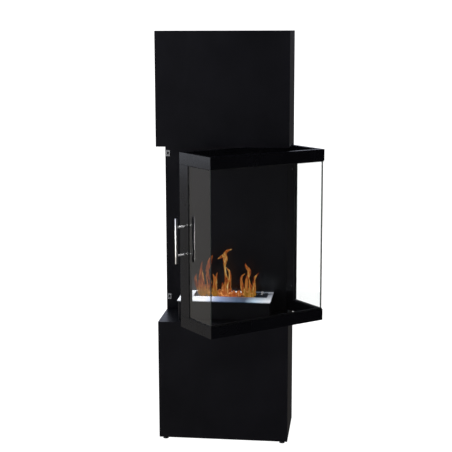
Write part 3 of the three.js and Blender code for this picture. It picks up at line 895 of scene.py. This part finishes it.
plate_top = plate_high.z
sideways, _, height = paint.parts(paint.place())
in_middle = paint.smooth(abs(sideways - MIDDLE_OF_EMBERS), 0.055, 0.035)
foot = paint.smooth(height - plate_top, 0.034, 0.004)
sparks = paint.smooth(paint.noise(paint.stretched((60.0, 60.0, 110.0)), detail=2.0), 0.56, 0.66)
embers = paint.colours(in_middle, DULL_YELLOW, EMBER_RED)
footed = paint.colours(foot * 0.55, body_colour, embers)
sparked = paint.colours(foot * sparks * (0.35 + in_middle * 0.65), footed, SPARK)

wisps = paint.noise(paint.stretched((120.0, 120.0, 60.0)), detail=4.0, roughness=0.7, distortion=1.0)
tip = paint.smooth(rise, 0.8, 1.0) * 0.3
edge = paint.smooth(rim + (wisps - 0.5) * 2.8, 0.72, 1.10) * 0.9
paint.surface(
    principled(
        paint,
        Base_Color=(0.0, 0.0, 0.0, 1.0),
        Roughness=1.0,
        Specular_IOR_Level=0.0,
        Emission_Color=sparked,
        Emission_Strength=FLAME_GLOW,
        Alpha=paint.math("MAXIMUM", 1 - tip - edge - cool * 0.35, 0.0),
    )
)
print("flame finish:", flame_skin.name)

# %% [markdown]
# ## Building one tongue of fire
# A tongue is a tube with a flat section that follows a bent spine and comes to a point. It starts from one ring of
# vertices. The ring is extruded again and again, and each new ring is moved, scaled and turned to its place on the
# spine. The spine is a few (sideways, up, width) points in millimetres, from the middle of the fireplace and the
# plate's top. They were set so that the tongues stand and lean as in the photograph.

# %% Tongue of fire
RING_POINTS = 10
FLATNESS = 0.45
SWIRL = math.radians(25)

fire_foot = Vector((footprint.x, slot_middle, plate_top))


def tongue(fire, spine, depth=0, cool=0.0):
    """Adds one tongue to the bmesh fire, depth millimetres behind the slot's middle."""
    rise = fire.verts.layers.float["rise"]
    rim = fire.verts.layers.float["rim"]
    ring = bmesh.ops.create_circle(fire, segments=RING_POINTS, radius=1.0)["verts"]
    for vert in ring:
        vert[rim] = abs(vert.co.x)
        vert[fire.verts.layers.float["cool"]] = cool
    sideways, up, width = spine[0]
    centre = fire_foot + Vector((sideways, depth, up)) * MM
    half = width * MM / 2
    bmesh.ops.scale(fire, vec=(half, half * FLATNESS, 1), verts=ring)
    bmesh.ops.translate(fire, vec=centre, verts=ring)
    loop = list({edge for vert in ring for edge in vert.link_edges})
    foot_loop = loop
    lean = 0.0
    for step, (sideways, up, next_width) in enumerate(spine[1:]):
        made = bmesh.ops.extrude_edge_only(fire, edges=loop)["geom"]
        ring = [item for item in made if isinstance(item, bmesh.types.BMVert)]
        edges = [item for item in made if isinstance(item, bmesh.types.BMEdge)]
        loop = [edge for edge in edges if all(vert in ring for vert in edge.verts)]
        size = next_width / width
        bmesh.ops.scale(fire, vec=(size, size, size), space=Matrix.Translation(-centre), verts=ring)
        before, after = spine[step], spine[min(step + 2, len(spine) - 1)]
        next_lean = math.atan2(after[0] - before[0], after[1] - before[1])
        bmesh.ops.rotate(fire, cent=centre, matrix=Matrix.Rotation(next_lean - lean, 3, "Y"), verts=ring)
        lean = next_lean
        along = Vector((math.sin(lean), 0.0, math.cos(lean)))
        turn = Matrix.Rotation(SWIRL if step % 2 else -SWIRL, 3, along)
        bmesh.ops.rotate(fire, cent=centre, matrix=turn, verts=ring)
        next_centre = fire_foot + Vector((sideways, depth, up)) * MM
        bmesh.ops.translate(fire, vec=next_centre - centre, verts=ring)
        for vert in ring:
            vert[rise] = (step + 1) / (len(spine) - 1)
        centre, width = next_centre, next_width
    bmesh.ops.edgeloop_fill(fire, edges=foot_loop)
    bmesh.ops.edgeloop_fill(fire, edges=loop)


def flame(name, tongues):
    fire = bmesh.new()
    fire.verts.layers.float.new("rise")
    fire.verts.layers.float.new("rim")
    fire.verts.layers.float.new("cool")
    for settings in tongues:
        tongue(fire, **settings)
    return make_piece(name, fire, flame_skin, "body", rounding=2)


print("fire stands on the slot's middle:", [round(part, 3) for part in fire_foot])

# %% [markdown]
# ## The fire
# Three groups of tongues stand in the slot, as in the photograph, and a row of low ones joins them. Each
# group is a piece of its own. The tongues of a group start from nearly the same foot and part higher up. A
# negative depth is in front of the slot's middle.

# %% Flames
LEFT_FLAMES = [
    dict(
        cool=0.5,
        spine=[
            (-88, -14, 24), (-92, 7, 24), (-96, 32, 22), (-97, 51, 17), (-96, 71, 14), (-94, 93, 11),
            (-90, 124, 2),
        ],
    ),
    dict(depth=-3, spine=[(-84, -14, 16), (-86, 10, 14), (-87, 54, 9), (-88, 73, 6), (-90, 87, 2)]),
    dict(
        depth=4,
        cool=1.0,
        spine=[(-94, -14, 18), (-102, 8, 17), (-111, 29, 16), (-117, 50, 13), (-116, 62, 9), (-110, 76, 2)],
    ),
    dict(
        depth=3,
        cool=0.4,
        spine=[
            (-74, -14, 20), (-65, 7, 19), (-60, 30, 13), (-61, 50, 11), (-71, 70, 12), (-74, 87, 13),
            (-69, 101, 17), (-63, 117, 21), (-61, 130, 15), (-52, 143, 3),
        ],
    ),
    dict(depth=-2, spine=[(-66, -14, 14), (-69, 30, 8), (-74, 58, 5), (-77, 75, 2)]),
    dict(
        depth=-2,
        spine=[(-46, -14, 20), (-45, 7, 18), (-44, 36, 14), (-45, 56, 11), (-48, 67, 7), (-52, 75, 2)],
    ),
    dict(depth=-3, spine=[(-42, -14, 16), (-41, 10, 13), (-41, 50, 10), (-39, 66, 7), (-35, 82, 2)]),
]
MIDDLE_FLAMES = [
    dict(
        spine=[
            (0, -14, 44), (0, 7, 41), (0, 24, 36), (0, 42, 22), (-3, 60, 12), (-6, 79, 8), (-8, 96, 7),
            (-9, 110, 9), (-7, 124, 18), (-6, 134, 21), (-9, 146, 16), (-5, 157, 12), (5, 163, 7),
            (20, 167, 2),
        ],
    ),
    dict(
        depth=-3,
        spine=[(4, -10, 24), (6, 24, 19), (10, 52, 13), (11, 74, 10), (9, 86, 9), (2, 94, 6), (-4, 102, 2)],
    ),
    dict(depth=-1, spine=[(-4, 146, 20), (-13, 143, 17), (-22, 137, 10), (-36, 129, 2)]),
    dict(depth=4, spine=[(-10, -14, 22), (-15, 12, 16), (-18, 32, 9), (-16, 45, 2)]),
]
RIGHT_FLAMES = [
    dict(
        depth=2,
        spine=[
            (62, -14, 20), (58, 12, 17), (54, 34, 14), (50, 52, 11), (51, 64, 9), (57, 72, 6),
            (66, 78, 2),
        ],
    ),
    dict(
        spine=[
            (74, -14, 24), (71, 7, 20), (70, 30, 15), (69, 50, 12), (75, 66, 13), (81, 80, 15),
            (80, 92, 16), (71, 101, 11), (66, 109, 7), (67, 118, 2),
        ],
    ),
    dict(depth=-4, spine=[(86, -14, 18), (85, 14, 13), (83, 40, 9), (79, 66, 2)]),
    dict(
        depth=3,
        spine=[
            (96, -14, 20), (98, 12, 16), (98, 36, 12), (96, 54, 10), (101, 66, 9), (108, 73, 5),
            (114, 82, 2),
        ],
    ),
]
LOW_FLAMES = [
    dict(depth=6, spine=[(-76, -14, 26), (-76, 10, 22), (-77, 24, 10), (-78, 36, 2)]),
    dict(depth=4, spine=[(-56, -14, 20), (-54, 12, 17), (-55, 26, 8), (-56, 38, 2)]),
    dict(depth=5, spine=[(-32, -14, 34), (-31, 2, 30), (-29, 10, 20), (-26, 18, 3)]),
    dict(depth=-5, spine=[(-20, -14, 26), (-18, 2, 22), (-17, 12, 14), (-16, 22, 3)]),
    dict(depth=-5, spine=[(22, -14, 36), (24, 2, 30), (25, 9, 20), (22, 17, 3)]),
    dict(depth=5, spine=[(40, -14, 34), (40, 0, 28), (42, 8, 17), (45, 16, 3)]),
    dict(depth=-2, spine=[(88, -14, 28), (88, 10, 22), (88, 28, 10), (87, 42, 2)]),
]
flames = [
    flame("flame_left", LEFT_FLAMES),
    flame("flame_middle", MIDDLE_FLAMES),
    flame("flame_right", RIGHT_FLAMES),
    flame("flame_low", LOW_FLAMES),
]
print("flames:", [piece.name for piece in flames])

# %% [markdown]
# ## The studio
# The fireplace stands on a plain white floor in front of plain white. Black satin paint shows what it
# mirrors more than what falls on it, so the room round it matters most: a big pale wall on the left, and
# dark at the right. The camera sees only white, and the paint and the glass see the room.

# %% Room
WHITE = (1.0, 1.0, 1.0, 1.0)
WHITE_GLOW = 1.35
LOW_TINT, HIGH_TINT = (1.0, 0.95, 0.88), (0.76, 0.81, 1.0)

bpy.context.scene.view_settings.view_transform = "Standard"
room = bpy.data.worlds.new("studio_room")
room.use_nodes = True
bpy.context.scene.world = room
air = Paint(room.node_tree)
sideways, backwards, upwards = air.parts(air.node("ShaderNodeTexCoord", output="Generated"))
left_wall = air.smooth(sideways, -0.1, -0.85)
rear_left = left_wall * air.smooth(backwards, 0.35, 0.9)
above = air.smooth(upwards, -0.3, 0.3)
front = air.smooth(backwards, 0.1, -0.8) * air.smooth(upwards, -0.4, 0.6)
front_left = air.smooth(backwards, 0.0, -0.25) * air.smooth(sideways, -0.4, -0.65)
strip = front_left * air.smooth(abs(upwards), 0.7, 0.4)
behind = air.smooth(backwards, 0.6, 0.95) * air.smooth(sideways, -0.1, 0.05)
over_rear = air.smooth(backwards, 0.7, 0.95) * air.smooth(upwards, 0.03, 0.12)
glow = (
    0.009
    + left_wall * (0.24 + above * 0.22)
    + rear_left * above * 1.7
    + front * 0.05
    + strip * 1.3
    + behind * 0.05
    + over_rear * 0.7
)
tint = air.colours(above, LOW_TINT, HIGH_TINT)
seen_white = air.node("ShaderNodeBackground", None, {"Color": WHITE, "Strength": WHITE_GLOW})
seen_room = air.node("ShaderNodeBackground", None, {"Color": tint, "Strength": glow})
by_camera = air.node("ShaderNodeLightPath", output="Is Camera Ray")
backdrop = air.node("ShaderNodeMixShader", None, {0: by_camera, 1: seen_room, 2: seen_white})
air.node("ShaderNodeOutputWorld", None, {"Surface": backdrop})
print("room:", room.name)

# %% [markdown]
# ## The floor
# The floor is white and glows a little, so that it runs into the white behind it, and only the shadows
# under the fireplace show where it is. Mirrors don't see it, because the fronts would turn grey.

# %% Floor
FLOOR_RADIUS = 14.0
FLOOR_GLOW = 0.85

ground = bmesh.new()
bmesh.ops.create_circle(ground, cap_ends=True, segments=64, radius=FLOOR_RADIUS)
floor_mesh = bpy.data.meshes.new("floor")
ground.to_mesh(floor_mesh)
ground.free()
floor = bpy.data.objects.new("floor", floor_mesh)
bpy.context.collection.objects.link(floor)
floor.visible_glossy = False

floor_white = bpy.data.materials.new("floor_white")
floor_white.use_nodes = True
paint = Paint(floor_white.node_tree)
matt = principled(paint, Base_Color=(0.8, 0.8, 0.8, 1.0), Roughness=1.0, Specular_IOR_Level=0.0)
distance = paint.node("ShaderNodeVectorMath", {"operation": "LENGTH"}, {0: paint.place()}, output="Value")
glow_share = paint.smooth(distance, 0.5, 3.0, FLOOR_GLOW, 1.0)
glowing = paint.node("ShaderNodeEmission", None, {"Color": WHITE, "Strength": WHITE_GLOW})
paint.surface(paint.node("ShaderNodeMixShader", None, {0: glow_share, 1: matt, 2: glowing}))
floor_mesh.materials.append(floor_white)
print("floor radius:", FLOOR_RADIUS, "m")

# %% [markdown]
# ## Softboxes
# One large softbox hangs over the front left, so the shadows stay soft. The other lamps do what a
# photographer does with a flag and a small lamp: each lights a few pieces alone. One lights the bright
# metal of the plate, knob and posts, one the handle's bar, one its posts and one the door's frame. Light
# linking does this in Blender: a lamp with a receiver collection lights only the objects in it. The camera
# doesn't see the lamps. Each is placed by its offset from what it shines on, so it goes along if the frame
# changes.


# %% Softboxes
def softbox(name, offset, target, size, watts, beam, colour=(1.0, 1.0, 1.0)):
    """A square lamp that hangs at an offset from its target and is turned to it."""
    lamp = bpy.data.lights.new(name, "AREA")
    lamp.shape = "SQUARE"
    lamp.size = size
    lamp.energy = watts
    lamp.spread = math.radians(beam)
    lamp.color = colour
    box = bpy.data.objects.new(name, lamp)
    place = target + Vector(offset)
    aim = target - place
    box.matrix_world = Matrix.Translation(place) @ aim.to_track_quat("-Z", "Y").to_matrix().to_4x4()
    box.visible_camera = False
    bpy.context.collection.objects.link(box)
    return box


def light_only(box, pieces):
    """The lamp then lights these pieces alone."""
    lit = bpy.data.collections.new(box.name + "_pieces")
    for piece in pieces:
        lit.objects.link(piece)
    box.light_linking.receiver_collection = lit


COOL_WHITE, BLUE_WHITE = (0.85, 0.9, 1.0), (0.80, 0.86, 1.0)

handle_low, handle_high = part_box("handle_bar")
handle = (handle_low + handle_high) / 2
door_top = Vector((handle.x, handle.y, frame_high.z * 0.7))
over_fire = fire_foot + Vector((0.0, 0.0, 0.6))

metal_light = softbox("metal_light", (-1.5, -0.25, 1.3), fire_foot, size=0.5, watts=20.0, beam=60)
light_only(metal_light, [nodes["hearth_plate"], knob, *posts])
bar_light = softbox("bar_light", (-1.1, -0.75, -0.2), handle, size=0.4, watts=1.15, beam=60)
light_only(bar_light, [grip])
post_light = softbox("post_light", (0.35, -0.5, 1.0), handle, size=0.3, watts=0.6, beam=60)
light_only(post_light, posts)
door_light = softbox(
    "stile_light", (-1.45, 0.45, 0.08), door_top, size=0.5, watts=0.5, beam=120, colour=BLUE_WHITE
)
light_only(door_light, [nodes[name] for name in DOOR_PIECES if name != "hinge_stile"])
main_light = softbox("left", (-1.3, -0.7, 0.9), over_fire, size=0.7, watts=3.0, beam=120, colour=COOL_WHITE)
softboxes = [metal_light, bar_light, post_light, door_light, main_light]
print("softboxes:", [box.name for box in softboxes])
